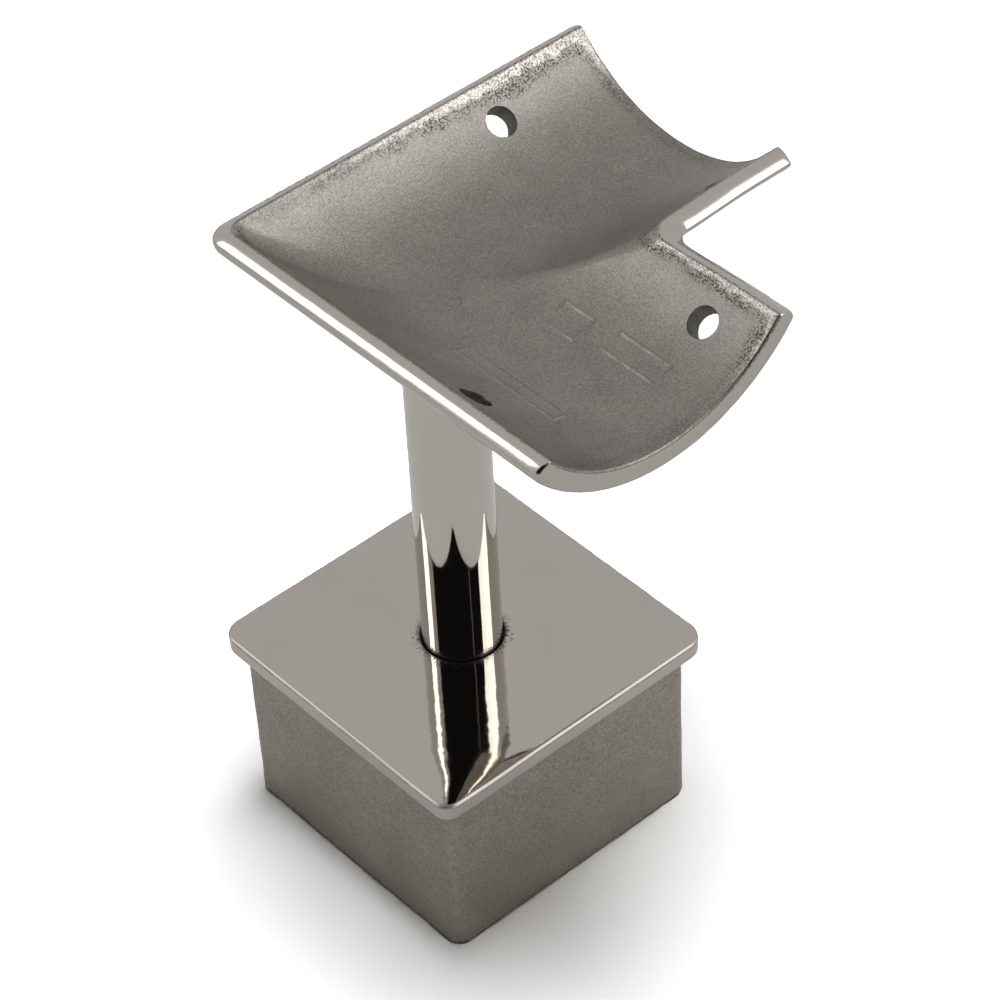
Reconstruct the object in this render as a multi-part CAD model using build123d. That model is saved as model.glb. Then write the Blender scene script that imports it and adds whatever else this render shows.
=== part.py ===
from build123d import *
import math
import os

# Handrail corner saddle. A mitred double trough carries two round rails that meet
# at a right angle. A round stem holds it above a square cap, whose hollow plug goes
# into the top of a square post. All sizes are in millimetres.
#
# Frame: +Z up along the stem, +X and +Y along the two rails, z = 0 at the lower end
# of the plug, which is what the loose fitting stands on.

os.makedirs("parts", exist_ok=True)

# The rail and the post that the fitting joins
rail_diameter = 50.8
post_bore = 47.0

# Trough casting
seat_clearance = 0.1
trough_wall = 3.3
trough_half_angle = 52.6
arm_length = 45.5
valley_radius = 6.0
outer_corner_radius = 5.5
rim_corner_radius = 6.0
ridge_radius = 1.8
inner_corner_radius = 3.0
rim_notch_radius = 2.0
long_rim_radius = 1.2
short_rim_radius = 0.8
end_face_chamfer = 0.45

# Holes for the screws that hold the rails, two in each arm
screw_hole_diameter = 4.6
screw_hole_angle = 38.0
long_wall_hole_reach = 25.8
short_wall_hole_reach = 35.6

# Stem
stem_diameter = 12.0
stem_rise = 63.0
stem_foot_chamfer = 0.4
weld_leg = 2.4
weld_toe_lean = 36.0

# Square cap
flange_size = 51.0
flange_thickness = 2.8
flange_corner_radius = 2.4
flange_edge_radius = 0.4
plug_clearance = 0.1
plug_depth = 30.0
plug_draft = 0.3
plug_corner_radius = 2.4
plug_wall = 3.0
hollow_corner_radius = 1.5
web_thickness = 4.0
web_fillet_radius = 1.5
boss_root_chamfer = 1.0
stem_recess_depth = 1.2
stem_recess_clearance = 0.15
recess_edge_chamfer = 0.2
boss_diameter = 20.0
boss_height = 5.0

# Screw and spring washer that hold the stem from inside the plug
bolt_diameter = 6.0
bolt_length = 20.0
bolt_head_diameter = 10.0
bolt_head_height = 6.0
bolt_socket_width = 5.0
bolt_socket_depth = 3.0
bolt_chamfer = 0.5
bolt_hole_clearance = 0.3
tapped_hole_clearance = 0.05
tapped_hole_spare = 3.0
drill_point_angle = 118.0
washer_diameter = 11.8
washer_thickness = 1.6
washer_gap = 1.2
washer_gap_lean = 20.0

# Sizes that follow from the ones above
seat_radius = rail_diameter / 2 + seat_clearance
trough_radius = seat_radius + trough_wall
plug_size = post_bore - 2 * plug_clearance
hollow_size = plug_size - 2 * plug_wall
cap_top = plug_depth + flange_thickness
stem_foot = cap_top - stem_recess_depth
stem_head = cap_top + stem_rise
rail_axis_height = stem_head + trough_radius
web_underside = cap_top - web_thickness
boss_underside = web_underside - boss_height
bolt_seat = boss_underside - washer_thickness

# The plane through both rails' mitre, and the plane across it through the stem
mitre_plane = Plane(origin=(0, 0, 0), x_dir=(1, 1, 0), z_dir=(1, -1, 0))
cross_plane = Plane(origin=(0, 0, 0), z_dir=(1, 1, 0))


def trough_profile():
    """Ring sector across one rail, open at the top."""
    start = -90 - trough_half_angle
    with BuildSketch(Plane.YZ) as profile:
        with BuildLine():
            seat = CenterArc((0, 0), seat_radius, start, 2 * trough_half_angle)
            back = CenterArc((0, 0), trough_radius, start, 2 * trough_half_angle)
            Line(seat @ 0, back @ 0)
            Line(seat @ 1, back @ 1)
        make_face()
    return profile.sketch


def sharp_trough():
    """Both arms, cut on the mitre and joined, about rail axes at z = 0."""
    overrun = 2 * trough_radius
    bar = Pos(-overrun, 0, 0) * extrude(trough_profile(), amount=overrun + arm_length)
    bar = chamfer(bar.faces().sort_by(Axis.X)[-1].edges(), end_face_chamfer)
    arm_x = bar.split(mitre_plane, keep=Keep.TOP)
    return arm_x + mirror(arm_x, about=mitre_plane)


def lies_on_mitre(edge):
    return all(abs(point.X - point.Y) < 1e-3 for point in (edge @ 0, edge @ 0.5, edge @ 1))


def crease(body, outside):
    """The curved mitre edge on the seat, or on the back of the wall."""
    middle = (seat_radius + trough_radius) / 2
    edges = body.edges().filter_by(lies_on_mitre)
    curved = edges.filter_by(lambda edge: edge.geom_type != GeomType.LINE)
    return curved.filter_by(
        lambda edge: (math.hypot((edge @ 0.5).X, (edge @ 0.5).Z) > middle) == outside
    )


def soften_mitre(half, seat_side, back_side):
    """Round the crease of one half of the trough, inside and out."""
    half = fillet(crease(half, False), seat_side)
    return fillet(crease(half, True), back_side)


def rim_mitre(body, side):
    """The short straight edge where the two rims meet, at the outer or inner corner."""
    edges = body.edges().filter_by(lies_on_mitre).filter_by(GeomType.LINE)
    return edges.filter_by(lambda edge: (edge @ 0.5).X * side > 0)


def rim_edges(body, side):
    """The straight edges where two rims meet the back of the wall.

    The long rims meet at the outer corner, side -1, and the short ones at the inner, side 1.
    """
    level = -trough_radius * math.cos(math.radians(trough_half_angle))
    shortest = 4 * trough_wall
    edges = body.edges().filter_by(GeomType.LINE)
    long_edges = edges.filter_by(lambda edge: edge.length > shortest)
    level_edges = long_edges.filter_by(lambda edge: abs((edge @ 0.5).Z - level) < trough_wall / 8)
    return level_edges.filter_by(lambda edge: min((edge @ 0.5).X, (edge @ 0.5).Y) * side > 0)


def screw_hole(reach, angle):
    """A drill through arm X at its reach along the rail, turned about the rail axis."""
    drill = Cylinder(screw_hole_diameter / 2, 4 * trough_wall)
    return Pos(reach, 0, 0) * Rot(angle, 0, 0) * Pos(0, 0, -seat_radius) * drill


def make_corner_saddle():
    whole = sharp_trough()
    near = soften_mitre(
        whole.split(cross_plane, keep=Keep.BOTTOM), valley_radius, outer_corner_radius
    )
    far = soften_mitre(
        whole.split(cross_plane, keep=Keep.TOP), ridge_radius, inner_corner_radius
    )
    body = near + far
    body = fillet(rim_mitre(body, -1), rim_corner_radius)
    body = fillet(rim_edges(body, -1), long_rim_radius)
    body = fillet(rim_mitre(body, 1), rim_notch_radius)
    body = fillet(rim_edges(body, 1), short_rim_radius)
    for reach, angle in (
        (long_wall_hole_reach, -screw_hole_angle),
        (short_wall_hole_reach, screw_hole_angle),
    ):
        drill = screw_hole(reach, angle)
        body = body - drill - mirror(drill, about=mitre_plane)
    return Pos(0, 0, rail_axis_height) * body


def make_stem(saddle):
    """Round bar, coped to the saddle above and tapped for the screw below."""
    radius = stem_diameter / 2
    bar = Pos(0, 0, stem_foot) * Cylinder(
        radius,
        stem_head + trough_wall / 2 - stem_foot,
        align=(Align.CENTER, Align.CENTER, Align.MIN),
    )
    bar = chamfer(bar.edges().sort_by(Axis.Z)[0], stem_foot_chamfer)
    thread_radius = bolt_diameter / 2 + tapped_hole_clearance
    hole_top = bolt_seat + bolt_length + tapped_hole_spare
    hole = Pos(0, 0, stem_foot) * Cylinder(
        thread_radius, hole_top - stem_foot, align=(Align.CENTER, Align.CENTER, Align.MIN)
    )
    point_height = thread_radius / math.tan(math.radians(drill_point_angle / 2))
    point = Pos(0, 0, hole_top) * Cone(
        thread_radius, 0, point_height, align=(Align.CENTER, Align.CENTER, Align.MIN)
    )
    coped = bar - saddle
    coped = coped.solids().sort_by(Axis.Z)[0]
    return Part() + coped - hole - point


def make_stem_weld(saddle):
    """Fillet weld around the head of the stem.

    Above the stem's head it leans outwards, to follow the saddle where that rises.
    """
    inner = stem_diameter / 2
    toe = inner + weld_leg
    low = stem_head - weld_leg
    rise = trough_wall * 3 / 4
    high = stem_head + rise
    top = toe + rise * math.tan(math.radians(weld_toe_lean))
    with BuildSketch(Plane.XZ) as profile:
        with BuildLine():
            Polyline((toe, stem_head), (top, high), (inner, high), (inner, low), close=True)
        make_face()
    ring = revolve(profile.sketch, axis=Axis.Z)
    bead = (ring - saddle).solids().sort_by(Axis.Z)[0]
    return Part() + bead


def rounded_square(size, radius, level):
    return Pos(0, 0, level) * RectangleRounded(size, size, radius)


def make_flange():
    plate = extrude(
        rounded_square(flange_size, flange_corner_radius, plug_depth), amount=flange_thickness
    )
    return fillet(plate.faces().sort_by(Axis.Z)[-1].edges(), flange_edge_radius)


def make_plug():
    """Outside and hollow of the square plug, both with a little draft."""
    outside = extrude(
        rounded_square(plug_size, plug_corner_radius, plug_depth),
        amount=-plug_depth,
        taper=plug_draft,
    )
    hollow = extrude(
        rounded_square(hollow_size, hollow_corner_radius, web_underside),
        amount=-web_underside,
        taper=-plug_draft,
    )
    hollow = fillet(hollow.faces().sort_by(Axis.Z)[-1].edges(), web_fillet_radius)
    return outside, hollow


def make_post_cap():
    outside, hollow = make_plug()
    boss = Pos(0, 0, boss_underside) * Cylinder(
        boss_diameter / 2, boss_height, align=(Align.CENTER, Align.CENTER, Align.MIN)
    )
    body = make_flange() + (outside - hollow)
    web = extrude(
        rounded_square(hollow_size, hollow_corner_radius, web_underside),
        amount=plug_depth - web_underside,
    )
    body = body + web + boss
    root = body.edges().filter_by(GeomType.CIRCLE).filter_by(
        lambda edge: abs(edge.radius - boss_diameter / 2) < 1e-3
        and abs((edge @ 0).Z - web_underside) < 1e-3
    )
    body = chamfer(root, boss_root_chamfer)
    recess_radius = stem_diameter / 2 + stem_recess_clearance
    recess = Pos(0, 0, stem_foot) * Cylinder(
        recess_radius, 2 * stem_recess_depth, align=(Align.CENTER, Align.CENTER, Align.MIN)
    )
    screw_way = Cylinder(bolt_diameter / 2 + bolt_hole_clearance, 3 * cap_top)
    body = body - recess - screw_way
    mouth = body.edges().filter_by(GeomType.CIRCLE).filter_by(
        lambda edge: abs(edge.radius - recess_radius) < 1e-3 and abs((edge @ 0).Z - cap_top) < 1e-3
    )
    return chamfer(mouth, recess_edge_chamfer)


def make_stem_bolt():
    """Socket-head screw, driven upwards into the stem from inside the plug."""
    head = Pos(0, 0, bolt_seat) * Cylinder(
        bolt_head_diameter / 2, bolt_head_height, align=(Align.CENTER, Align.CENTER, Align.MAX)
    )
    head = chamfer(head.edges().sort_by(Axis.Z)[0], bolt_chamfer)
    shank = Pos(0, 0, bolt_seat) * Cylinder(
        bolt_diameter / 2, bolt_length, align=(Align.CENTER, Align.CENTER, Align.MIN)
    )
    shank = chamfer(shank.edges().sort_by(Axis.Z)[-1], bolt_chamfer)
    head_foot = bolt_seat - bolt_head_height
    socket = extrude(
        Pos(0, 0, head_foot) * RegularPolygon(bolt_socket_width / 2, 6, major_radius=False),
        amount=bolt_socket_depth,
    )
    return head + shank - socket


def make_lock_washer():
    """Spring washer, split by a leaning saw cut and pressed flat."""
    ring = Cylinder(washer_diameter / 2, washer_thickness)
    ring = ring - Cylinder(bolt_diameter / 2 + tapped_hole_clearance, 2 * washer_thickness)
    blade = Box(washer_diameter, washer_gap, 4 * washer_thickness)
    blade = Pos(-washer_diameter / 2, 0, 0) * Rot(washer_gap_lean, 0, 0) * blade
    return Pos(0, 0, bolt_seat + washer_thickness / 2) * (ring - blade)


corner_saddle = make_corner_saddle()
sub_parts = {
    "corner_saddle": corner_saddle,
    "stem": make_stem(corner_saddle),
    "stem_weld": make_stem_weld(corner_saddle),
    "post_cap": make_post_cap(),
    "stem_bolt": make_stem_bolt(),
    "lock_washer": make_lock_washer(),
}

for name, shape in sub_parts.items():
    export_step(shape, f"parts/{name}.step")
    print(name, round(shape.volume, 1), "mm3", len(shape.solids()), "solid")
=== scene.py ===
# %% [markdown]
# # A polished handrail saddle, dressed in Blender
#
# This fitting carries a handrail round a corner. A double trough holds the two rails,
# a round stem holds the trough, and a square cap plugs into the post below. The packed
# CAD model gives every size and place. This lesson puts finer meshes over the
# castings, gives each piece its finish, and lights it as a small studio does.
#
# Numbers for shapes are in millimetres, and one factor turns them into metres.

import math

import bmesh
import bpy
from mathutils import Matrix, Vector, noise


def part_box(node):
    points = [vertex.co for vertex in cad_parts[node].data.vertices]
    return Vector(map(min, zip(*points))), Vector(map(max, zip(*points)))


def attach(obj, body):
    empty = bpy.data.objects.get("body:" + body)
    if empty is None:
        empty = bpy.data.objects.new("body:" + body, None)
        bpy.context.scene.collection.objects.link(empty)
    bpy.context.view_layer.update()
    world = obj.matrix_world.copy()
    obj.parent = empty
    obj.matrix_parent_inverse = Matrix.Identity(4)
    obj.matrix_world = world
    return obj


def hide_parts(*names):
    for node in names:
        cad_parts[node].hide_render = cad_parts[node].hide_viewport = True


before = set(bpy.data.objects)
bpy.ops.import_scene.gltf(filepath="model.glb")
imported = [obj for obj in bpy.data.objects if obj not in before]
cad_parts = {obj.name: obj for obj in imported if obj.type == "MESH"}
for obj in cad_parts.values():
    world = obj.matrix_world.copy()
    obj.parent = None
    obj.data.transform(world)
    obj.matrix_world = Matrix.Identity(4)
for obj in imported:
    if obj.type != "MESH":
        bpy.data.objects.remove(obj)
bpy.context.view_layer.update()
MM = 0.001
scene = bpy.context.scene

# %% [markdown]
# ## Sizes that the frame gives
#
# A mesh that replaces a CAD solid has to lie where the solid lies. Its levels could be
# typed a second time, but they would drift apart, so they are read from the CAD boxes.

# %% Read levels and half widths from the CAD
saddle_low, saddle_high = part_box("corner_saddle")
cap_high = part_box("post_cap")[1]
stem_low, stem_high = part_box("stem")
washer_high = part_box("lock_washer")[1]
arm_length = saddle_high[0] / MM
stem_head = saddle_low[2] / MM
cap_top = cap_high[2] / MM
flange_half = cap_high[0] / MM
stem_radius = stem_high[0] / MM
stem_foot = stem_low[2] / MM
boss_underside = washer_high[2] / MM
print("arm", round(arm_length, 2), "stem", round(stem_head, 2), "cap", round(cap_top, 2), "mm")

# %% [markdown]
# ## The camera
#
# The photograph was taken from above with a long lens. A camera could be aimed by eye,
# but straight edges show a small error. So its angles, its place and a small shift of
# the film were fitted to the real fitting's edges.

# %% Set the camera
camera_azimuth, camera_elevation, camera_roll = (math.radians(v) for v in (49.89, 42.09, -2.88))
camera_place = Vector((0.33029, -0.26280, 0.44662))
lens_in_image_widths = 4.01422
lens_centre_x, lens_centre_y = 0.53421, 0.46336
film_width = 36

back = Vector((
    math.sin(camera_azimuth) * math.cos(camera_elevation),
    -math.cos(camera_azimuth) * math.cos(camera_elevation),
    math.sin(camera_elevation),
))
level_right = Vector((math.cos(camera_azimuth), math.sin(camera_azimuth), 0))
level_up = back.cross(level_right)
right = level_right * math.cos(camera_roll) + level_up * math.sin(camera_roll)
up = level_up * math.cos(camera_roll) - level_right * math.sin(camera_roll)

camera_data = bpy.data.cameras.new("studio_camera")
camera = bpy.data.objects.new("studio_camera", camera_data)
scene.collection.objects.link(camera)
camera_turn = Matrix((right, up, back)).transposed().to_4x4()
camera.matrix_world = Matrix.Translation(camera_place) @ camera_turn
camera_data.sensor_width = film_width
camera_data.lens = film_width * lens_in_image_widths
camera_data.shift_x = 0.5 - lens_centre_x
camera_data.shift_y = lens_centre_y - 0.5
camera_data.clip_start, camera_data.clip_end = 0.01, 20
scene.camera = camera
print("lens", round(camera_data.lens, 1), "mm")

# %% [markdown]
# ## Small tools for node materials
#
# A procedural finish is a chain of nodes, and each takes a few lines when written out.
# One helper adds a node and sets or links its inputs, so a recipe reads as steps.

# %% Helpers for shader nodes
def add_node(tree, kind, settings=None, **inputs):
    """A shader node; an input is told by its name, or by the letter i and its number."""
    node = tree.nodes.new("ShaderNode" + kind)
    for key, value in (settings or {}).items():
        setattr(node, key, value)
    for key, value in inputs.items():
        by_number = key[0] == "i" and key[1:].isdigit()
        socket = node.inputs[int(key[1:]) if by_number else key.replace("_", " ")]
        if isinstance(value, bpy.types.NodeSocket):
            tree.links.new(value, socket)
        else:
            socket.default_value = value
    return node


def maths(tree, operation, first, second=0.0, clamp=False):
    settings = {"operation": operation, "use_clamp": clamp}
    return add_node(tree, "Math", settings, i0=first, i1=second).outputs[0]


def plus(tree, first, second):
    return maths(tree, "ADD", first, second)


def minus(tree, first, second):
    return maths(tree, "SUBTRACT", first, second)


def times(tree, first, second, clamp=False):
    return maths(tree, "MULTIPLY", first, second, clamp)


def ramp_between(tree, value, low, high, low_out=0.0, high_out=1.0):
    """A smooth step: low_out below low, high_out above high."""
    return add_node(
        tree, "MapRange", {"interpolation_type": "SMOOTHSTEP"},
        Value=value, From_Min=low, From_Max=high, To_Min=low_out, To_Max=high_out,
    ).outputs[0]


# %% [markdown]
# ## The studio room
#
# Polished steel shows its surroundings, so the studio is most of the picture. It could
# be built from cards and walls, but a world made of directions does the same with no
# mesh. Each direction has a height, and a way round the room told from the camera.

# %% Directions in the room
world = bpy.data.worlds.new("studio_room")
scene.world = world
world.use_nodes = True
world.cycles.sampling_method = "NONE"
room = world.node_tree
room.nodes.clear()

facing = Vector((math.sin(camera_azimuth), -math.cos(camera_azimuth), 0))
direction = add_node(room, "TexCoord").outputs["Generated"]
height = add_node(room, "SeparateXYZ", Vector=direction).outputs[2]
level = maths(room, "SQRT", minus(room, 1.0, times(room, height, height)))
level = maths(room, "MAXIMUM", level, 0.001)


def along_way(way):
    """How far a direction of the room points along a way."""
    return add_node(
        room, "VectorMath", {"operation": "DOT_PRODUCT"}, i0=direction, i1=way
    ).outputs["Value"]


toward_camera = maths(room, "DIVIDE", along_way(facing), level)
sideways = maths(room, "DIVIDE", along_way(level_right), level)
print("the camera's side of the room lies toward", [round(v, 2) for v in facing])

# %% [markdown]
# Metal sees a light grey room that is dark on the camera's side, from a little above
# the floor up to the ceiling. That dark side makes the black band down the stem and
# across the flange. One faint line stands in it, as the edge of a stand would.

# %% What metal sees of the room
room_seen, dark_seen, line_seen = 0.68, 0.012, 0.2
dark_sides, dark_foot, dark_top = (0.26, 0.34), (0.12, 0.2), (0.93, 0.97)
line_place, line_edge = 0.515, (0.012, 0.03)

between_sides = ramp_between(room, toward_camera, *dark_sides)
dark_side = times(room, between_sides, ramp_between(room, height, *dark_foot))
dark_side = times(room, dark_side, ramp_between(room, height, *dark_top, 1.0, 0.0))
metal_sees = ramp_between(room, dark_side, 0.0, 1.0, room_seen, dark_seen)
off_line = maths(room, "ABSOLUTE", minus(room, sideways, line_place))
line = times(room, ramp_between(room, off_line, *line_edge, 1.0, 0.0), dark_side)
metal_sees = plus(room, metal_sees, times(room, line, line_seen))
print("metal sees", room_seen, "all round and", dark_seen, "on the camera's side")

# %% [markdown]
# One soft patch of ceiling, off to one side, lights the card floor. A lamp there would
# also show in the flange as a white square, so only the floor sees this patch.

# %% What the floor sees of the room
wall_light, overhead_light = 0.02, 14.0
overhead_tilt, overhead_turn = math.radians(6), math.radians(-65)
overhead_edge = (0.955, 0.992)

lean_to = Matrix.Rotation(overhead_turn, 3, "Z") @ -facing
overhead = lean_to * math.sin(overhead_tilt) + Vector((0, 0, math.cos(overhead_tilt)))
patch = ramp_between(room, along_way(overhead), *overhead_edge, 0.0, overhead_light)
card_sees = plus(room, ramp_between(room, dark_side, 0.0, 1.0, wall_light, 0.0), patch)
patch_reach = math.degrees(math.acos(overhead_edge[0]))
print("the patch of ceiling reaches", round(patch_reach, 1), "degrees out")

# %% [markdown]
# The path of each ray tells what is looking. A ray off polished metal sees the room, a
# ray off the card sees the patch, and the camera sees white, which keeps the page white.

# %% Give each kind of ray its view
rays = add_node(room, "LightPath")


def for_rays(kind, seen, otherwise):
    """One strength for rays of a kind, another for the rest."""
    return add_node(
        room, "Mix", {"data_type": "FLOAT"}, i0=rays.outputs[kind], i2=otherwise, i3=seen
    ).outputs[0]


strength = for_rays("Is Camera Ray", 1.0, for_rays("Is Glossy Ray", metal_sees, card_sees))
glow = add_node(room, "Background", Color=(1, 1, 1, 1), Strength=strength)
room.links.new(glow.outputs[0], add_node(room, "OutputWorld").inputs[0])
print("the room has", len(room.nodes), "nodes")

# %% [markdown]
# ## The floor
#
# The floor is pale card. Lamps strong enough to make it white would wash out the
# metal. So its own colour is a light grey that bounces light up, and what the camera
# sees of it is whiter. That is a colour and not a glow, so the shadow stays.

# %% Lay the floor
floor_colour, floor_colour_seen = 0.85, 1.75
floor_half = 3


def blend_colours(tree, factor, first, second):
    return add_node(tree, "Mix", {"data_type": "RGBA"}, i0=factor, i6=first, i7=second).outputs[2]


floor_mesh = bpy.data.meshes.new("floor")
corner_signs = ((-1, -1), (1, -1), (1, 1), (-1, 1))
floor_corners = [(x * floor_half, y * floor_half, 0) for x, y in corner_signs]
floor_mesh.from_pydata(floor_corners, [], [(0, 1, 2, 3)])
floor = bpy.data.objects.new("floor", floor_mesh)
scene.collection.objects.link(floor)
floor_card = bpy.data.materials.new("floor_card")
floor_card.use_nodes = True
card = floor_card.node_tree
card.nodes.clear()
seen_by_camera = add_node(card, "LightPath").outputs["Is Camera Ray"]
card_colour = blend_colours(
    card, seen_by_camera, (floor_colour,) * 3 + (1,), (floor_colour_seen,) * 3 + (1,)
)
matt = add_node(card, "BsdfDiffuse", Color=card_colour)
card.links.new(matt.outputs[0], add_node(card, "OutputMaterial").inputs[0])
floor_mesh.materials.append(floor_card)
print("floor", 2 * floor_half, "m wide")

# %% [markdown]
# ## The lamps
#
# Small lamps would leave dots on the steel, where the photo shows straight bands. So
# two tall softboxes stand on the sides of the camera's line. They give the stem its
# bright streaks and the two nearest rims their white bands. The floor doesn't see
# them, or their light would fill its shadow.

# %% Hang the softboxes
aim_height = 0.07


def softbox(name, azimuth, elevation, distance, width, tall, power):
    """A rectangular lamp that faces the fitting, from an azimuth told like the camera's."""
    lamp = bpy.data.lights.new(name, "AREA")
    lamp.shape, lamp.size, lamp.size_y, lamp.energy = "RECTANGLE", width, tall, power
    box = bpy.data.objects.new(name, lamp)
    turn, lift = math.radians(azimuth), math.radians(elevation)
    level_part = math.cos(lift)
    away = Vector((math.sin(turn) * level_part, -math.cos(turn) * level_part, math.sin(lift)))
    box.location = Vector((0, 0, aim_height)) + away * distance
    box.rotation_mode = "QUATERNION"
    box.rotation_quaternion = away.to_track_quat("Z", "Y")
    scene.collection.objects.link(box)
    box.visible_camera = box.visible_diffuse = False
    print(name, "radiance", round(power / (math.pi * width * tall), 2))


softbox("left_box", -46, 28, 1.2, 0.29, 0.85, 3.2)
softbox("right_box", 127, 31, 1.2, 0.56, 1.08, 7.1)

# %% [markdown]
# ## Polished steel
#
# The casting's outside, its rims, the flange and the stem are polished. Plain metal of
# low roughness would look like chrome plate. A buffing wheel leaves long and short
# ripples that bend reflected lines, so two sizes of noise go into a very low bump.

# %% Recipe for polished steel
steel_colour = (0.5, 0.466, 0.427, 1)
bar_colour = (0.54, 0.508, 0.462, 1)
worn_steel_colour = (0.42, 0.391, 0.358, 1)
long_wave_mm, short_wave_mm = 6.0, 1.6
flange_roughness = 0.045


def grain(tree, place, size_mm, detail=2.0, roughness=0.5):
    """Noise whose features are about size_mm across."""
    return add_node(
        tree, "TexNoise",
        Vector=place, Scale=1 / (size_mm * MM), Detail=detail, Roughness=roughness,
    ).outputs[0]


def new_metal(name, colour, roughness):
    """A metal material with its tree, its shader and the place on the piece."""
    material = bpy.data.materials.new(name)
    material.use_nodes = True
    tree = material.node_tree
    shader = tree.nodes["Principled BSDF"]
    shader.inputs["Metallic"].default_value = 1.0
    shader.inputs["Base Color"].default_value = colour
    shader.inputs["Roughness"].default_value = roughness
    place = add_node(tree, "TexCoord").outputs["Object"]
    print("finish", name, "roughness", roughness)
    return material, tree, shader, place


def add_bump(tree, shader, height_map, depth_mm):
    bump = add_node(tree, "Bump", Strength=1.0, Distance=depth_mm * MM, Height=height_map)
    tree.links.new(bump.outputs[0], shader.inputs["Normal"])


def polished_steel(name, colour, roughness, long_ripple_mm, short_ripple_mm):
    """Polished metal, with the depths of its long and short ripples."""
    material, tree, shader, place = new_metal(name, colour, roughness)
    long_waves = times(tree, grain(tree, place, long_wave_mm, 1.0), long_ripple_mm)
    short_waves = times(tree, grain(tree, place, short_wave_mm, 1.0), short_ripple_mm)
    add_bump(tree, shader, plus(tree, long_waves, short_waves), 1.0)
    return material, tree, shader, place


mirror_bar = polished_steel("mirror_bar", bar_colour, 0.05, 0.004, 0.001)[0]
hand_polished = polished_steel("hand_polished", steel_colour, 0.17, 0.06, 0.008)[0]
worn_edge = polished_steel("worn_edge", worn_steel_colour, 0.42, 0.05, 0.01)[0]
mirror_flange, flange_tree, flange_shader, flange_place = polished_steel(
    "mirror_flange", steel_colour, flange_roughness, 0.03, 0.008
)

# %% [markdown]
# ## Blasted and raw cast steel
#
# The seats and the plug are as the mould left them, after blasting with grit. Paint
# noise alone would look printed on, and relief alone would look too clean. So the same
# two sizes of grain drive both the colour and the height, and a slow noise adds
# mottling.

# %% Recipe for cast steel
seat_roughness = 0.48
fine_share, coarse_share, slow_share = 0.65, 0.2, 0.15
coarser, slower, coarse_relief = 2.6, 30, 1.2


def cast_steel(name, pale, dark, roughness, grain_mm, depth_mm):
    """Blasted casting: two sizes of grain in colour and in height, and slow mottling."""
    material, tree, shader, place = new_metal(name, pale, roughness)
    fine = grain(tree, place, grain_mm, 2.0, 0.6)
    coarse = grain(tree, place, coarser * grain_mm, 2.0, 0.6)
    slow = grain(tree, place, slower * grain_mm, 2.0)
    tone = plus(tree, times(tree, fine, fine_share), times(tree, coarse, coarse_share))
    tone = plus(tree, tone, times(tree, slow, slow_share))
    colour = blend_colours(tree, ramp_between(tree, tone, 0.2, 0.8), dark, pale)
    tree.links.new(colour, shader.inputs["Base Color"])
    add_bump(tree, shader, plus(tree, fine, times(tree, coarse, coarse_relief)), depth_mm)
    return material, tree, shader, place, colour


seat_pale, seat_dark = (0.4, 0.376, 0.341, 1), (0.16, 0.15, 0.135, 1)
plug_pale, plug_dark = (0.5, 0.458, 0.396, 1), (0.17, 0.155, 0.133, 1)
# The screw holes' walls get much darker colours than the seat: painted shade inside the holes.
shaded_hole_pale, shaded_hole_dark = (0.24, 0.222, 0.198, 1), (0.05, 0.046, 0.04, 1)
blasted_seat, seat_tree, seat_shader, seat_place, seat_colour = cast_steel(
    "blasted_seat", seat_pale, seat_dark, seat_roughness, 0.22, 0.03
)
raw_plug, plug_tree, plug_shader, plug_place, plug_colour = cast_steel(
    "raw_plug", plug_pale, plug_dark, 0.52, 0.25, 0.04
)
shaded_hole_wall = cast_steel("shaded_hole_wall", shaded_hole_pale, shaded_hole_dark, 0.5, 0.3, 0.05)[0]

# %% [markdown]
# ## The polished border of the seat
#
# The polishing wheel reaches a little way over the rim. A painted mask would be a
# picture. Two numbers stored on each vertex of the seat do the same: how far the rim
# is, and how hard the wheel worked there. Noise makes the border's edge wander.

# %% Where the wheel reached over the seat
buffed_width, speckled_width = 1.1, 2.2
border_wander = 2.4


def stored_number(name):
    """A number that the mesh stores on each vertex."""
    return add_node(seat_tree, "Attribute", {"attribute_name": name}).outputs["Fac"]


from_rim_mm, wheel_share = stored_number("from_rim_mm"), stored_number("wheel_share")
wander = minus(seat_tree, grain(seat_tree, seat_place, 3.0, 4.0, 0.65), 0.5)
reach = plus(seat_tree, from_rim_mm, times(seat_tree, wander, border_wander))
buffed = ramp_between(seat_tree, reach, buffed_width - 0.6, buffed_width + 0.5, 1.0, 0.0)
buffed = times(seat_tree, buffed, wheel_share, True)
speckled = ramp_between(seat_tree, reach, speckled_width - 0.6, speckled_width + 0.8, 1.0, 0.0)
print("border", buffed_width, "mm bright and", speckled_width, "mm speckled")

# %% [markdown]
# Where the wheel only just touched, it cut the high spots and left the pits, so a dark
# speckled line runs beside the bright border. The same fine noise places the pits and
# the sparkle, so the bright spots stand between the dark ones.

# %% Pits and sparkle of the border
dark_pit = (0.045, 0.042, 0.037, 1)
dull_spot, bright_spot = (0.22, 0.205, 0.187, 1), (0.5, 0.47, 0.432, 1)
buffed_roughness, shine_most, pits_most = 0.36, 0.8, 0.92
pits_lost_to_buff, pits_without_wheel = 0.7, 0.35

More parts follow.
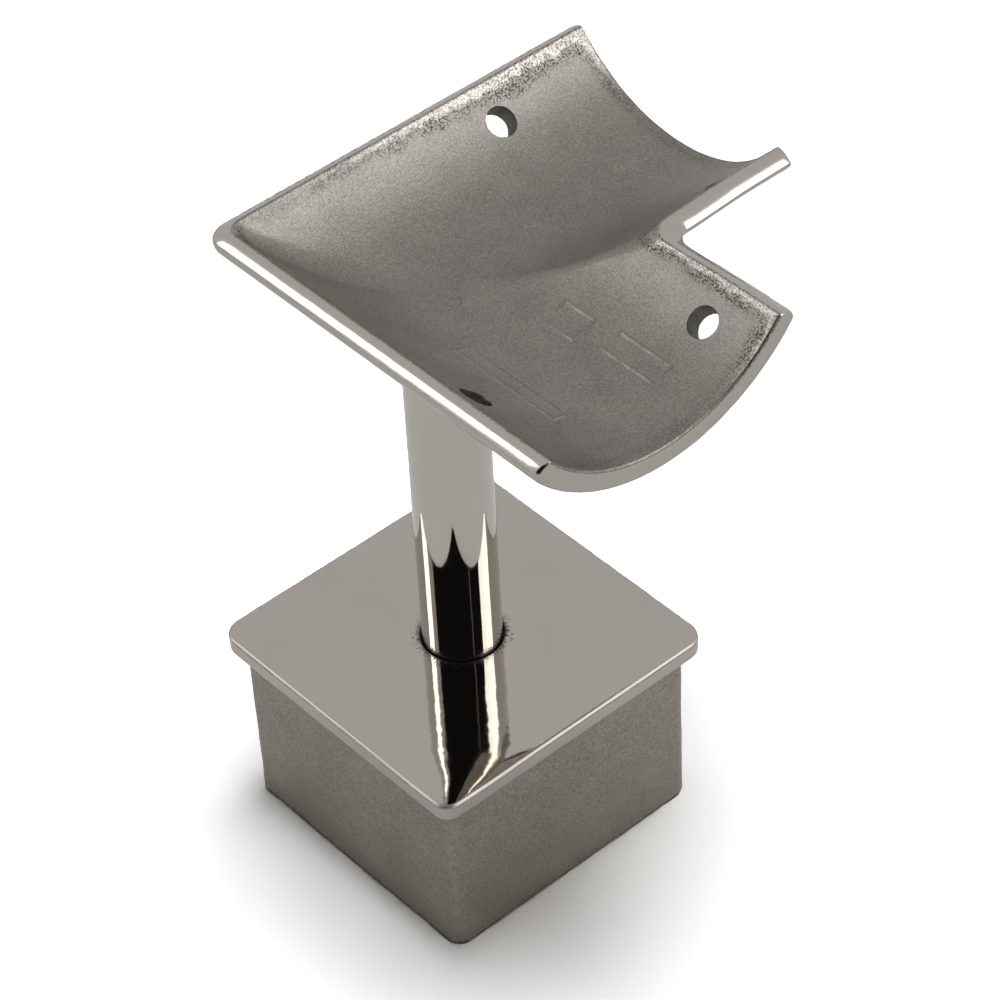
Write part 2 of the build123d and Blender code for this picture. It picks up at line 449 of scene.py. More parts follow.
spots = grain(seat_tree, seat_place, 0.3, 2.0, 0.7)
patches = ramp_between(seat_tree, grain(seat_tree, seat_place, 9.0, 1.0), 0.4, 0.6, 0.5, 1.0)
pits = times(seat_tree, ramp_between(seat_tree, spots, 0.42, 0.54, 1.0, 0.0), speckled)
pits = times(seat_tree, pits, minus(seat_tree, 1.0, times(seat_tree, buffed, pits_lost_to_buff)))
pits = times(seat_tree, pits, patches)
pits = times(seat_tree, pits, plus(seat_tree, wheel_share, pits_without_wheel), True)
sparkle = ramp_between(seat_tree, spots, 0.35, 0.65)
shine = blend_colours(seat_tree, sparkle, dull_spot, bright_spot)
with_shine = blend_colours(seat_tree, times(seat_tree, buffed, shine_most), seat_colour, shine)
with_pits = blend_colours(seat_tree, times(seat_tree, pits, pits_most), with_shine, dark_pit)
smoother = ramp_between(seat_tree, buffed, 0.0, 1.0, seat_roughness, buffed_roughness)
seat_tree.links.new(with_pits, seat_shader.inputs["Base Color"])
seat_tree.links.new(smoother, seat_shader.inputs["Roughness"])
print("the seat's finish has", len(seat_tree.nodes), "nodes")

# %% [markdown]
# ## Marks on the flange
#
# The buff can't reach into the corner between stem and flange. A dark ring stays
# there, with short hairs where the wheel dragged compound along. It is only a stain,
# so it needs no mesh: a colour fades with the distance from the stem, and noise round
# the stem makes its edge hairy. Faint brownish clouds are the last haze.

# %% Ring, hairs and haze
ring_start, ring_end, hair_reach = 6.15, 6.8, 1.5
ring_most, haze_most, cloud_size = 0.92, 0.3, 11.0
ring_colour, haze_colour = (0.05, 0.045, 0.04, 1), (0.45, 0.408, 0.362, 1)

apart = add_node(flange_tree, "SeparateXYZ", Vector=flange_place)
across_x, across_y = apart.outputs[0], apart.outputs[1]
squares = [maths(flange_tree, "POWER", axis, 2.0) for axis in (across_x, across_y)]
from_stem = maths(flange_tree, "SQRT", plus(flange_tree, *squares))
round_stem = maths(flange_tree, "ARCTAN2", across_y, across_x)
hair_place = add_node(
    flange_tree, "CombineXYZ",
    X=times(flange_tree, round_stem, 0.012), Y=times(flange_tree, from_stem, 0.25),
).outputs[0]
hairs = ramp_between(flange_tree, grain(flange_tree, hair_place, 0.22, 2.0), 0.45, 0.75)
ring_edge = minus(flange_tree, from_stem, times(flange_tree, hairs, hair_reach * MM))
ring = ramp_between(flange_tree, ring_edge, ring_start * MM, ring_end * MM, ring_most, 0.0)
clouds = grain(flange_tree, flange_place, cloud_size, 2.0)
cloud = ramp_between(flange_tree, clouds, 0.42, 0.7, 0.0, haze_most)
hazy = blend_colours(flange_tree, cloud, steel_colour, haze_colour)
ringed = blend_colours(flange_tree, ring, hazy, ring_colour)
flange_tree.links.new(ringed, flange_shader.inputs["Base Color"])
dulled = ramp_between(flange_tree, ring, 0.0, 0.9, flange_roughness, 0.4)
flange_tree.links.new(dulled, flange_shader.inputs["Roughness"])
print("ring from", ring_start, "to", ring_end, "mm, hairs up to", hair_reach, "mm more")

# %% [markdown]
# ## Wear, painted light and a painted shadow on the plug
#
# Handling wears the plug's upright corners a little brighter than its faces. Painted
# light makes its colour lighter towards the floor, and a painted contact shadow darkens
# the last bit above the floor. All follow from the place on the piece, so no mask is
# needed: a corner is where both distances from the middle are large.

# %% Worn corners, painted light low down and a painted shadow at the foot
worn_from, worn_full = 20.8, 22.6
# Heights and shares of the painted light low on the plug and of the painted contact shadow at its
# foot.
painted_light_height, contact_shadow_height, contact_shadow_edge = 22, 0.2, 0.6
painted_light_most, worn_most, contact_shadow_most = 0.1, 0.25, 0.7
painted_light_colour, worn_colour = (0.8, 0.73, 0.63, 1), (0.55, 0.505, 0.44, 1)
# The colour of the painted contact shadow along the plug's foot.
contact_shadow_colour = (0.07, 0.064, 0.055, 1)

apart = add_node(plug_tree, "SeparateXYZ", Vector=plug_place)
distances = [maths(plug_tree, "ABSOLUTE", apart.outputs[axis]) for axis in (0, 1)]
nearer = maths(plug_tree, "MINIMUM", *distances)
worn_patches = ramp_between(plug_tree, grain(plug_tree, plug_place, 1.2, 3.0), 0.35, 0.65)
near_corner = ramp_between(plug_tree, nearer, worn_from * MM, worn_full * MM)
corner_wear = times(plug_tree, times(plug_tree, near_corner, worn_patches), worn_most)
above_floor = apart.outputs[2]
# Painted light: the colour grows lighter towards the floor, lightest at the foot.
painted_light_share = ramp_between(plug_tree, above_floor, 0.0, painted_light_height * MM, painted_light_most, 0.0)
# Painted shadow: a dark band of colour along the foot, where the plug meets the floor.
painted_contact_shadow = ramp_between(plug_tree, above_floor, contact_shadow_height * MM, contact_shadow_edge * MM, contact_shadow_most, 0.0)
with_painted_light = blend_colours(plug_tree, painted_light_share, plug_colour, painted_light_colour)
worn = blend_colours(plug_tree, corner_wear, with_painted_light, worn_colour)
with_contact_shadow = blend_colours(plug_tree, painted_contact_shadow, worn, contact_shadow_colour)
plug_tree.links.new(with_contact_shadow, plug_shader.inputs["Base Color"])
print("the plug's finish has", len(plug_tree.nodes), "nodes")

# %% [markdown]
# ## Meshes from rows of points
#
# The CAD meshes could be subdivided, but uneven faces show at once in a mirror finish.
# So every shape below is a grid of quads: one outline, carried along a path.

# %% Helpers that make meshes
def face_outwards(mesh):
    """Turns every face of a closed mesh to the outside."""
    work = bmesh.new()
    work.from_mesh(mesh)
    bmesh.ops.recalc_face_normals(work, faces=work.faces)
    work.to_mesh(mesh)
    work.free()


def object_from_rows(name, rows, closed_path, materials, slot_of_band, caps=False):
    """Quads between neighbouring rows of points, each row a closed outline, in mm."""
    count = len(rows[0])
    points = [tuple(v * MM for v in point) for row in rows for point in row]
    faces, slots = [], []
    bands = len(rows) if closed_path else len(rows) - 1
    for j in range(bands):
        k = (j + 1) % len(rows)
        for i in range(count):
            n = (i + 1) % count
            faces.append((j * count + i, j * count + n, k * count + n, k * count + i))
            slots.append(slot_of_band(j, i))
    if caps:
        faces.append(tuple(reversed(range(count))))
        faces.append(tuple((len(rows) - 1) * count + i for i in range(count)))
        slots += [0, 0]
    mesh = bpy.data.meshes.new(name)
    mesh.from_pydata(points, [], faces)
    for material in materials:
        mesh.materials.append(material)
    for face, slot_number in zip(mesh.polygons, slots):
        face.material_index = slot_number
        face.use_smooth = True
    thing = bpy.data.objects.new(name, mesh)
    scene.collection.objects.link(thing)
    face_outwards(mesh)
    return thing


def report(thing):
    print(thing.name, len(thing.data.vertices), "vertices", len(thing.data.polygons), "faces")


# %% [markdown]
# ## The double trough
#
# The real saddle is one casting whose two troughs meet at a right angle. Two troughs
# could be joined at the mitre, but the joint would be sharp. So one cross-section is
# carried round the corner. First come its rims, which a wheel has rounded.

# %% Round the rims
seat_radius, wall = 25.5, 3.3
back_radius = seat_radius + wall
half_angle = math.radians(52.6)
rail_axis = stem_head + back_radius
seat_edge_round, long_rim_round, short_rim_round = 0.45, 1.5, 0.75
crown_start, long_crown_end, short_crown_end = (math.radians(v) for v in (60, 99, 95))
seat_edge_steps, crown_steps, outer_edge_steps = 8, 10, 12


def polar(radius, angle):
    """Across the rail and above its axis, with the angle told from straight down."""
    return Vector((radius * math.sin(angle), -radius * math.cos(angle)))


def rim_rounds(outer_round, lift, crown_end):
    """Points of the rim at the positive side, and the angles where seat and back end.

    The rim is three arcs: a small one at the seat, a slightly crowned top, and the
    large one that the wheel puts on the outer edge. Each bends on where the last ended.
    """
    taken = seat_edge_round * (1 - math.cos(crown_start))
    taken += outer_round * (1 + math.cos(crown_end))
    crown_radius = (wall - taken) / (math.cos(crown_start) - math.cos(crown_end))
    arcs = (
        (seat_edge_round, 0, crown_start, seat_edge_steps),
        (crown_radius, crown_start, crown_end, crown_steps),
        (outer_round, crown_end, math.pi, outer_edge_steps),
    )
    through = polar(1, half_angle)
    beyond = Vector((math.cos(half_angle), math.sin(half_angle)))
    seat_rise = seat_edge_round * math.sin(crown_start)
    u, t = 0, lift - seat_rise - crown_radius * (1 - math.sin(crown_start))
    angle_in = half_angle + t / seat_radius
    points = []
    for radius, start, end, steps in arcs:
        for k in range(steps):
            now = start + (end - start) * k / steps
            points.append((
                u + radius * (math.cos(start) - math.cos(now)),
                t + radius * (math.sin(now) - math.sin(start)),
            ))
        u += radius * (math.cos(start) - math.cos(end))
        t += radius * (math.sin(end) - math.sin(start))
    points.append((u, t))
    rim = [through * (seat_radius + a) + beyond * b for a, b in points]
    return rim, angle_in, half_angle + t / back_radius


print("wall", wall, "mm, rail axis", round(rail_axis, 2), "mm above the floor")

# %% [markdown]
# The outline runs along the seat, over the short rim, back under the trough and over
# the long rim. Each point keeps how far over the rim it lies, for the later steps.

# %% Close the cross-section
arc_steps = 64
long_rim_lift, short_rim_lift = 0.16, 0.35


def trough_section():
    """The closed outline, as (across, above, share of the way over the rim)."""
    short_points, short_in, short_out = rim_rounds(short_rim_round, short_rim_lift, short_crown_end)
    long_points, long_in, long_out = rim_rounds(long_rim_round, long_rim_lift, long_crown_end)
    outline = []
    for k in range(arc_steps + 1):
        angle = -long_in + (long_in + short_in) * k / arc_steps
        outline.append((*polar(seat_radius, angle), 0.0))
    last = len(short_points) - 1
    outline += [(*p, k / last) for k, p in enumerate(short_points)][1:]
    for k in range(1, arc_steps + 1):
        angle = short_out - (short_out + long_out) * k / arc_steps
        outline.append((*polar(back_radius, angle), 1.0))
    mirrored = [(-p.x, p.y, k / last) for k, p in enumerate(long_points)]
    outline += mirrored[::-1][1:-1]
    return outline


section = trough_section()
print("section has", len(section), "points")

# %% [markdown]
# Each point of the section runs along arm X, turns at the mitre and runs along arm Y.
# How tightly it turns differs from point to point: wide in the valley and at the outer
# corner, tight on the ridge. That one idea gives the crease, the rounded corner and
# the notch.

# %% Say how each point turns
seat_turn, back_turn = 2.4, 3.6
valley_wider, valley_end = 1.7, 21
ridge_tighter, ridge_full = 1.0, 9
notch_wider, notch_start, notch_over = 2.6, 14, 6.5
back_tighter, back_full = 1.1, 22
end_round, rim_end_extra = 0.4, 0.35


def smooth(value):
    value = min(max(value, 0), 1)
    return value * value * (3 - 2 * value)


def turn_radius(across, over_rim):
    """How widely a point of the section turns at the mitre."""
    if across < 0:
        seat = seat_turn + valley_wider * math.sin(math.pi * min(-across / valley_end, 1))
        back = back_turn
    else:
        tighter = ridge_tighter * smooth(across / ridge_full)
        seat = seat_turn - tighter + notch_wider * smooth((across - notch_start) / notch_over)
        back = back_turn - back_tighter * smooth(across / back_full)
    return seat + (back - seat) * over_rim


def end_radius(over_rim):
    """The wheel rounds the rims' ends more than the rest of an arm's end."""
    on_rim = smooth((over_rim - 0.3) / 0.3)
    return end_round + rim_end_extra * on_rim * smooth((1 - over_rim) / 0.2)


print("the valley turns at", seat_turn, "mm, the underside at", back_turn, "mm")

# %% [markdown]
# The rows are made for arm X and half of the turn, and mirrored for arm Y. Arms that
# were ground by hand aren't quite alike, so each short wall leans by its own amount.

# %% Carry the section round the corner
arm_steps, turn_steps, end_steps = 44, 20, 5
lean_x, lean_y, lean_rise = 0.25, -0.4, 0.15
lean_start, lean_over = 10, 10
free_start, free_over = 2, 14


def section_normals(outline):
    """Directions that point out of the material, one for each point."""
    normals = []
    for k in range(len(outline)):
        before, after = outline[k - 1], outline[(k + 1) % len(outline)]
        onward = Vector((after[0] - before[0], after[1] - before[1])).normalized()
        normals.append(Vector((-onward.y, onward.x)))
    return normals


def end_row(part):
    """One row over the rounded end of arm X, from the flat face to the side."""
    row = []
    for (a, h, over_rim), normal in zip(section, section_normals(section)):
        radius = end_radius(over_rim)
        inset = radius - radius * math.sin(part)
        x = arm_length - radius + radius * math.cos(part)
        row.append((x, a - normal.x * inset, rail_axis + h - normal.y * inset))
    return row


def arm_row(k):
    """Row number k along arm X, from its end to the start of the turn."""
    row = []
    for a, h, over_rim in section:
        first = arm_length - end_radius(over_rim)
        run = a + turn_radius(a, over_rim) - first
        row.append((first + run * k / arm_steps, a, rail_axis + h))
    return row


def turn_row(angle):
    """One row of the turn, at an angle from arm X."""
    row = []
    for a, h, over_rim in section:
        radius = turn_radius(a, over_rim)
        x, y = a + radius - radius * math.sin(angle), a + radius - radius * math.cos(angle)
        row.append((x, y, rail_axis + h))
    return row


def lean(row, shift, axis):
    """Moves the short wall a little, as the two arms of a hand-finished casting differ."""
    moved = []
    for point, section_point in zip(row, section):
        across = section_point[0]
        share = smooth((across - lean_start) / lean_over)
        share *= smooth((point[1 - axis] - across - free_start) / free_over)
        point = list(point)
        point[axis] += shift * share
        point[2] += lean_rise * share
        moved.append(tuple(point))
    return moved


arm_x = [end_row(k / end_steps * math.pi / 2) for k in range(end_steps + 1)]
arm_x += [arm_row(k) for k in range(1, arm_steps)]
arm_x += [turn_row(k / turn_steps * math.pi / 2) for k in range(turn_steps // 2 + 1)]
arm_y = [[(y, x, z) for x, y, z in row] for row in arm_x[-2::-1]]
rows = [lean(row, lean_x, 1) for row in arm_x] + [lean(row, lean_y, 0) for row in arm_y]
on_seat = range(-seat_edge_steps, arc_steps + seat_edge_steps)
saddle = object_from_rows(
    "corner_saddle_casting", rows, False, [hand_polished, blasted_seat, shaded_hole_wall],
    lambda j, i: 1 if i in on_seat or i - len(section) in on_seat else 0, caps=True,
)
report(saddle)

# %% [markdown]
# ## Screw holes
#
# Each wall of each arm has a hole for the screw that holds the rail, and all four
# point at the rails' axes. Holes in the grid itself would make it uneven, so a cutter
# makes them. Its flared ends leave each mouth softly broken. One hole sits lower.

# %% Cut the screw holes
hole_radius, hole_flare = 2.3, 0.08
hole_angle, lower_by_hand = math.radians(38), math.radians(2.2)
long_wall_reach, short_wall_reach = 25.8, 35.6
cutter_inside, cutter_outside, cutter_steps = 1.0, 0.6, 48


def apply_modifiers(thing):
    """Replaces the mesh by what its modifiers make of it."""
    bpy.context.view_layer.update()
    shown = thing.evaluated_get(bpy.context.evaluated_depsgraph_get())
    mesh = bpy.data.meshes.new_from_object(shown)
    old = thing.data
    thing.modifiers.clear()
    thing.data = mesh
    bpy.data.meshes.remove(old)


def turned_ring(radius, level, steps):
    """A circle of points at one level."""
    turns = [2 * math.pi * k / steps for k in range(steps)]
    return [(radius * math.cos(turn), radius * math.sin(turn), level) for turn in turns]


def hole_cutter(reach, angle, mirrored):
    """A turned cutter through the wall, at its reach along one arm."""
    mouth, flared = hole_radius + 2 * hole_flare, hole_radius + hole_flare
    levels = [
        (mouth, seat_radius - cutter_inside), (flared, seat_radius),
        (hole_radius, seat_radius + 1.4 * hole_flare), (hole_radius, back_radius - hole_flare),
        (flared, back_radius), (mouth, back_radius + cutter_outside),
    ]
    cutter_rings = []
    for radius, depth in levels:
        ring = []
        for x, y, _ in turned_ring(radius, 0, cutter_steps):
            across = y * math.cos(angle) + depth * math.sin(angle)
            above = y * math.sin(angle) - depth * math.cos(angle)
            along, height = reach + x, rail_axis + above
            ring.append((across, along, height) if mirrored else (along, across, height))
        cutter_rings.append(ring)
    # The third finish, on the cutter's inner rings, paints shade on the walls of the holes.
    finishes = [hand_polished, blasted_seat, shaded_hole_wall]
    return object_from_rows(
        "hole_cutter", cutter_rings, False, finishes, lambda j, i: 2 if 0 < j < 4 else 1, caps=True
    )


for mirrored in (False, True):
    for reach, angle in ((long_wall_reach, -hole_angle), (short_wall_reach, hole_angle)):
        by_hand = lower_by_hand if mirrored and angle > 0 else 0
        cutter = hole_cutter(reach, angle + by_hand, mirrored)
        cut = saddle.modifiers.new("screw hole", "BOOLEAN")
        cut.operation, cut.solver, cut.object = "DIFFERENCE", "EXACT", cutter
        apply_modifiers(saddle)
        bpy.data.objects.remove(cutter)
report(saddle)

# %% [markdown]
# Now the two numbers that the seat's shader reads are stored on every vertex. Along
# arm Y's long rim the wheel worked harder toward the end. It reached one side of each
# arm's end, and hardly touched the rest of it.

# %% Store how the wheel reached each point
crease_angle = math.radians(40)
closer_rim, closer_start, closer_over = 0.4, -5, 35
rim_least, rim_gain, rim_gain_start, rim_gain_over = 0.2, 1.4, -12, 44
end_least, end_gain, end_gain_start, end_gain_over = 0.15, 0.85, 8, 10


def weigh_normals(thing):
    """Lets the large faces keep their own direction, so flats stay flat in a mirror."""
    modifier = thing.modifiers.new("flat faces stay flat", "WEIGHTED_NORMAL")
    modifier.keep_sharp = True


def wheel_reach(x, y, z):
    """How far the nearest rim or end is, in mm, and how hard the wheel worked there."""
    along, across = (x, y) if x > y else (y, x)
    angle = math.atan2(abs(across), rail_axis - z)
    to_rim, to_end = seat_radius * (half_angle - angle), arm_length - along
    outer_side = y > x and across < 0
    if outer_side:
        to_rim *= 1 - closer_rim * smooth((along - closer_start) / closer_over)
    if to_rim >= to_end:
        worked_side = -across if y > x else across
        share = end_least + end_gain * smooth((worked_side - end_gain_start) / end_gain_over)
    elif outer_side:
        share = rim_least + rim_gain * smooth((along - rim_gain_start) / rim_gain_over)
    else:
        share = 1.0
    return min(to_rim, to_end), share


from_rim = saddle.data.attributes.new("from_rim_mm", "FLOAT", "POINT")
wheel = saddle.data.attributes.new("wheel_share", "FLOAT", "POINT")
for vertex in saddle.data.vertices:
    distance, share = wheel_reach(*(c / MM for c in vertex.co))
    from_rim.data[vertex.index].value, wheel.data[vertex.index].value = distance, share
for face in saddle.data.polygons:
    face.use_smooth = True
saddle.data.set_sharp_from_angle(angle=crease_angle)
weigh_normals(saddle)
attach(saddle, "root")
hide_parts("corner_saddle")
print("two numbers stored on each of", len(saddle.data.vertices), "vertices")

# %% [markdown]
# ## Bare casting panels
#
# The foundry's pattern leaves three small framed panels on the seat of arm X. A bump
# in the shader would look alike, but the mesh would lack them. So they are thin skins
# on the seat's curve: a low frame, worn in places, round a flat field that stays empty.

# %% Lay the panels
frame_height, frame_width, field_height = 0.15, 0.42, 0.06
frame_middle, frame_soft = 1.2 * frame_width, 0.5 * frame_width
wear_start, wear_range, wear_least = 0.6, 0.9, 0.2
panel_grid, wear_length = 0.12, 2.6
panel_sunk, panel_depth = 0.02, 0.2
panel_crease_angle = math.radians(50)


def casting_panel(name, start, end, low_angle, high_angle, worn):
    """A framed field between two places along the arm and two angles round it."""
    wide, tall = end - start, math.radians(high_angle - low_angle) * seat_radius
    columns, lines = round(wide / panel_grid), round(tall / panel_grid)

    def lift(u, v):
        edge = min(u * wide, (1 - u) * wide, v * tall, (1 - v) * tall)
        bump = math.exp(-(((edge - frame_middle) / frame_soft) ** 2))
        place = Vector((u * wide, v * tall, start)) / wear_length
        fade = wear_start + wear_range * noise.noise(place) * worn
        frame_here = frame_height * bump * min(max(fade, wear_least), 1)
        field = field_height if edge > frame_middle else field_height * edge / frame_width
        return frame_here + field - panel_sunk

    across_angle = high_angle - low_angle
    angles = [math.radians(low_angle + across_angle * k / lines) for k in range(lines + 1)]
    panel_rows = []
    for j in range(columns + 1):
        u = j / columns
        upper = [polar(seat_radius - lift(u, k / lines), a) for k, a in enumerate(angles)]
        lower = [polar(seat_radius + panel_depth, a) for a in angles]
        panel_rows.append([(start + u * wide, a, rail_axis + h) for a, h in upper + lower[::-1]])
    panel = object_from_rows(name, panel_rows, False, [blasted_seat], lambda j, i: 0, caps=True)
    far = panel.data.attributes.new("from_rim_mm", "FLOAT", "POINT")
    for point in far.data:
        point.value = 2 * speckled_width
    panel.data.set_sharp_from_angle(angle=panel_crease_angle)
    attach(panel, "root")
    report(panel)


casting_panel("casting_panel_1", 25.8, 36.6, 13.0, 22.9, 1.0)
casting_panel("casting_panel_2", 15.6, 22.4, 9.8, 21.4, 1.6)
casting_panel("casting_panel_3", 13.0, 33.2, -20.6, -13.4, 1.8)

# %% [markdown]
# ## The square cap
#
# The cap closes the post: a polished square flange on a rough hollow plug. A plate and
# a box would leave a seam. So it is one stack of outlines, over the flange, down the
# plug, up inside it and back through the screw's hole, all with as many points.

# %% Outlines of the cap
flange_corner, plug_corner, plug_half = 2.4, 2.4, 23.4
side_steps, corner_steps = 36, 10
tightest_corner = 0.2


def rounded_square(half, corner, level, extra=(0, 0, 0, 0)):
    """A square outline with round corners; extra widens single corners."""
    points = []
    for quarter in range(4):
        turn = math.pi / 2 * quarter
        c, s = math.cos(turn), math.sin(turn)
        before, radius = corner + extra[quarter - 1], corner + extra[quarter]
        start, flat = -(half - before), half - radius
        own = [(half, start + (flat - start) * k / side_steps) for k in range(side_steps)]
        own += [
            (flat + radius * math.cos(a), flat + radius * math.sin(a))
            for a in (math.pi / 2 * k / corner_steps for k in range(corner_steps))
        ]
        points += [(c * x - s * y, s * x + c * y, level) for x, y in own]
    return points


def ring_like_square(radius, level):
    """A circle whose points face those of the squares."""
    ring = []
    for x, y, z in rounded_square(plug_half, plug_corner, level):
        ring.append((radius * x / math.hypot(x, y), radius * y / math.hypot(x, y), z))
    return ring


def edge_round(half, corner, level, radius, from_top, steps=4):
    """Squares over a rounded edge, from the flat to the side or back again."""
    squares = []
    for k in range(steps + 1):
        part = k / steps * math.pi / 2
        out, drop = radius * (math.sin(part) - 1), radius * (1 - math.cos(part))
        here = level - drop if from_top else level + drop
        squares.append((half + out, max(corner + out, tightest_corner), here))
    return squares if from_top else squares[::-1]


rings, kinds = [], []


def put(outline, kind):
    """Adds an outline to the stack, with the finish of the skin that starts there."""
    rings.append(outline)
    kinds.append(kind)


print("each outline has", 4 * (side_steps + corner_steps), "points")

# %% [markdown]
# The flange comes first, from the recess for the stem out to the edge. Its rings crowd
# near the edge, where polishing has bent the top. The edge itself is worn and duller.

# %% Stack the flange
flange_thick, recess_radius, recess_edge = 2.8, 6.15, 0.2
edge_softness, edge_steps, under_edge_round = 0.55, 8, 0.3
top_rings, top_crowding = 34, 1.6
wider_corners = (1.0, 0.6, 1.0, 0)
flange_under = cap_top - flange_thick

put(ring_like_square(recess_radius, stem_foot), 0)
put(ring_like_square(recess_radius, cap_top - recess_edge), 0)
first_top_ring = len(rings)
inner = ring_like_square(recess_radius + recess_edge, cap_top)
outer = rounded_square(
    flange_half - edge_softness, flange_corner - edge_softness, cap_top, wider_corners
)
for k in range(top_rings):
    share = k / (top_rings - 1)
    share = 1 - (1 - share) ** top_crowding
    put([tuple(a + (b - a) * share for a, b in zip(p, q)) for p, q in zip(inner, outer)], 0)
top_edge = edge_round(flange_half, flange_corner, cap_top, edge_softness, True, edge_steps)
for half, corner, level in top_edge[1:]:
    put(rounded_square(half, corner, level, wider_corners), 2)
kinds[-1] = 0
last_top_ring = len(rings)
for square in edge_round(flange_half, flange_corner, flange_under, under_edge_round, False):
    put(rounded_square(*square, wider_corners), 0)
print("flange of", len(rings), "outlines, underside at", round(flange_under, 2), "mm")

# %% [markdown]
# The plug narrows downwards, so that it left the mould. Its rows are close together,
# because small dents and a wavy lower edge make it look cast.

# %% Stack the plug
draft = math.tan(math.radians(0.3))
plug_root, plug_rows, lip_round = 0.25, 30, 0.4

put(rounded_square(plug_half + plug_root, plug_corner, flange_under), 1)
first_plug_ring = len(rings)
plug_top = flange_under - plug_root
for k in range(plug_rows):
    level = plug_top - (plug_top - lip_round) * k / (plug_rows - 1)
    put(rounded_square(plug_half - draft * (flange_under - level), plug_corner, level), 1)
foot_half = plug_half - draft * flange_under
for square in edge_round(foot_half, plug_corner, 0, lip_round, False)[1:]:
    put(rounded_square(*square), 1)
last_plug_ring = len(rings)
print("plug", round(2 * foot_half, 2), "mm wide at its foot")

# %% [markdown]
# The photo doesn't show the plug's inside, so this is a guess from usual practice. The
# plug is hollow, to save steel. A web closes it, and a boss takes the screw's head.

# %% Stack the hollow and the boss
plug_wall, hollow_corner, hollow_steps = 3.0, 1.5, 8
web_thick, web_round, web_round_steps = 4.0, 1.5, 4
boss_radius, boss_root, boss_edge, screw_way = 10.0, 1.0, 0.3, 3.3
web_underside = cap_top - web_thick
hollow_half = plug_half - plug_wall

for k in range(hollow_steps + 1):
    level = (web_underside - web_round) * k / hollow_steps
    put(rounded_square(hollow_half + draft * (web_underside - level), hollow_corner, level), 1)
for k in range(1, web_round_steps + 1):
    part = k / web_round_steps * math.pi / 2
    inset = web_round * (1 - math.cos(part))
    level = web_underside - web_round + web_round * math.sin(part)
    put(rounded_square(hollow_half - inset, max(hollow_corner - inset, tightest_corner), level), 1)
put(ring_like_square(boss_radius + boss_root, web_underside), 1)
put(ring_like_square(boss_radius, web_underside - boss_root), 1)
put(ring_like_square(boss_radius, boss_underside + boss_edge), 1)
put(ring_like_square(boss_radius - boss_edge, boss_underside), 1)
put(ring_like_square(screw_way, boss_underside), 1)
put(ring_like_square(screw_way, stem_foot), 0)
print("the cap's stack has", len(rings), "outlines")

# %% [markdown]
# A perfect stack looks machined. On the real cap, polishing has lowered the flange's
# edges a little and bent the top beside the front corner, and the plug's skin wanders.
# A bump in the shader can't move an outline, so the points themselves are moved.

# %% Wear the cap
edge_fall, fall_reach = 0.045, 1.4
corner_bend, corner_reach, bend_start = 0.0155, 9, 12
skin_wander, skin_length = 0.09, 5.0
lip_wave, lip_length, lip_slice = 0.3, 2.5, 7


def roughen(point, depth, reach_mm):
    """Moves a point by slow noise, to and from the middle, as a casting's skin wanders."""
    x, y, z = point
    shift = noise.noise(Vector(point) / reach_mm) * depth
    shift += noise.noise(Vector(point) / (reach_mm / 3)) * depth * 0.5
    length = math.hypot(x, y)
    return (x + x / length * shift, y + y / length * shift, z)


def fall_at(x, y):
    """How far polishing lowered the flange's top, along its edges and beside one corner."""
    in_x, in_y = flange_half - abs(x), flange_half - abs(y)
    edges = edge_fall * (math.exp(-in_x / fall_reach) + math.exp(-in_y / fall_reach))
    bent = corner_bend * (in_x - in_y) ** 2 / 2 * smooth(x / bend_start) * smooth(-y / bend_start)
    return edges + bent * math.exp(-(((in_x + in_y) / corner_reach) ** 2))


def lip_wave_at(x, y):
    return max(noise.noise(Vector((x, y, lip_slice)) / lip_length), 0) * lip_wave


for j in range(first_top_ring, last_top_ring):
    rings[j] = [(x, y, z - fall_at(x, y)) for x, y, z in rings[j]]
for j in range(first_plug_ring + 1, last_plug_ring):
    rings[j] = [roughen(point, skin_wander, skin_length) for point in rings[j]]
for j in range(last_plug_ring - 3, last_plug_ring + 1):
    rings[j] = [(x, y, max(z, 0) + lip_wave_at(x, y)) for x, y, z in rings[j]]

cap = object_from_rows(
    "post_cap_casting", rings, True, [mirror_flange, raw_plug, worn_edge], lambda j, i: kinds[j]
)
cap.data.set_sharp_from_angle(angle=crease_angle)
weigh_normals(cap)
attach(cap, "root")
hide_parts("post_cap")
report(cap)

# %% [markdown]
# ## The stem
#
# The stem is a turned and polished bar. The long faces of a plain cylinder would shade
# unevenly, so it is many rings round one axis, with a small chamfer at its foot.

# %% Turn the stem
stem_steps, stem_rows = 128, 24
stem_chamfer, stem_hidden = 0.4, 0.7
bar_start = stem_foot + stem_chamfer
bar_length = stem_head + stem_hidden - stem_foot - stem_chamfer

stem_rings = [
    turned_ring(stem_radius - stem_chamfer, stem_foot, stem_steps),
    turned_ring(stem_radius, bar_start, stem_steps),
]
for k in range(1, stem_rows + 1):
    level = bar_start + bar_length * k / stem_rows
    stem_rings.append(turned_ring(stem_radius, level, stem_steps))
stem = object_from_rows("stem_bar", stem_rings, False, [mirror_bar], lambda j, i: 0, caps=True)
stem.data.set_sharp_from_angle(angle=crease_angle)
weigh_normals(stem)
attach(stem, "root")
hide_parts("stem")
report(stem)

# %% [markdown]
# ## The weld
#
# The joint under the saddle is hidden too, and a polished fillet weld is the usual one.
# A torus couldn't follow the trough's back. So the bead is rings that climb from the
# bar to the trough above each point, slightly hollow and of uneven thickness.

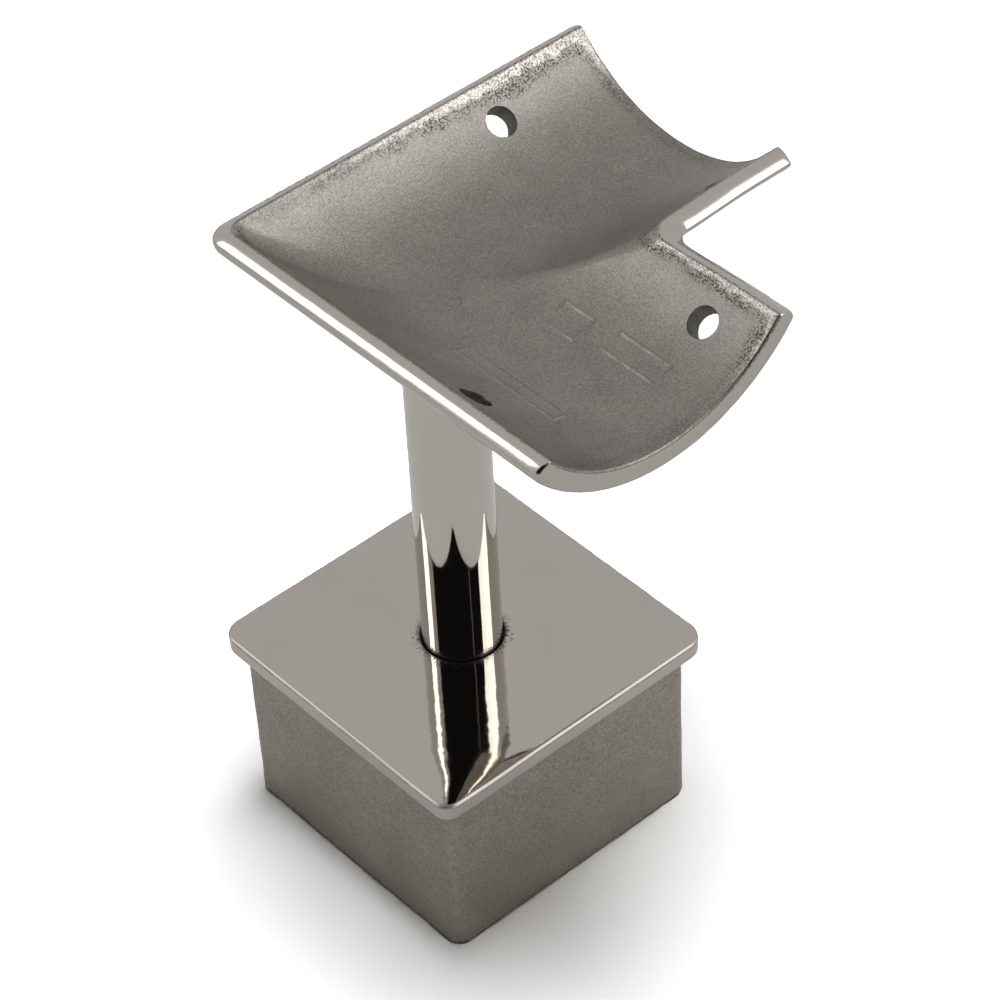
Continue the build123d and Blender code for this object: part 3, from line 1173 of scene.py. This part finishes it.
# %% Lay the weld bead
weld_leg, weld_swell, swell_size = 2.4, 0.06, 3
weld_steps, weld_hollow, hollow_share = 8, 0.35, 0.7
under_skin, foot_follow = 0.05, 0.5
buried_radius, buried_rise = stem_radius * 0.98, 0.3
widest_across = 20


def back_level(x, y):
    """Height of the trough's underside above a point of the floor."""
    across = y if x > y else x
    return rail_axis - math.sqrt(back_radius ** 2 - min(across ** 2, widest_across ** 2))


def weld_ring(part):
    """One line of the bead, from the stem at part 0 to the saddle at part 1."""
    points = []
    for k in range(stem_steps):
        turn = 2 * math.pi * k / stem_steps
        c, s = math.cos(turn), math.sin(turn)
        leg = weld_leg * (1 + weld_swell * noise.noise(Vector((c * swell_size, s * swell_size, 1))))
        toe = stem_radius + leg
        high = back_level(toe * c, toe * s) + under_skin
        foot = stem_head - leg + (high - stem_head) * foot_follow
        hollow = weld_hollow * math.sin(math.pi * part)
        radius = stem_radius - under_skin + (leg + under_skin) * part - hollow * hollow_share
        points.append((radius * c, radius * s, foot + (high - foot) * part + hollow * hollow_share))
    return points


weld_rings = [weld_ring(k / weld_steps) for k in range(weld_steps + 1)]
buried = []
for x, y, z in weld_rings[-1]:
    out = math.hypot(x, y)
    buried.append((buried_radius * x / out, buried_radius * y / out, z + buried_rise))
weld = object_from_rows(
    "stem_weld_bead", weld_rings + [buried], True, [mirror_bar], lambda j, i: 0
)
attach(weld, "root")
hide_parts("stem_weld")
report(weld)

# %% [markdown]
# ## The screw and its washer
#
# Both are guesses as well, small and plain, and only show from below. They could be
# modelled again, but their CAD meshes are right, so they only get a material.

# %% Finish the fasteners
plain_fastener = new_metal("plain_fastener", (0.4, 0.39, 0.37, 1), 0.3)[0]
for name in ("stem_bolt", "lock_washer"):
    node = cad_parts[name]
    node.data.materials.clear()
    node.data.materials.append(plain_fastener)
    print(name, "keeps its CAD mesh")

# %% [markdown]
# ## Look settings
#
# The finishes were chosen for plain colours, so nothing may bend them afterwards.

# %% View settings
scene.view_settings.view_transform = "Standard"
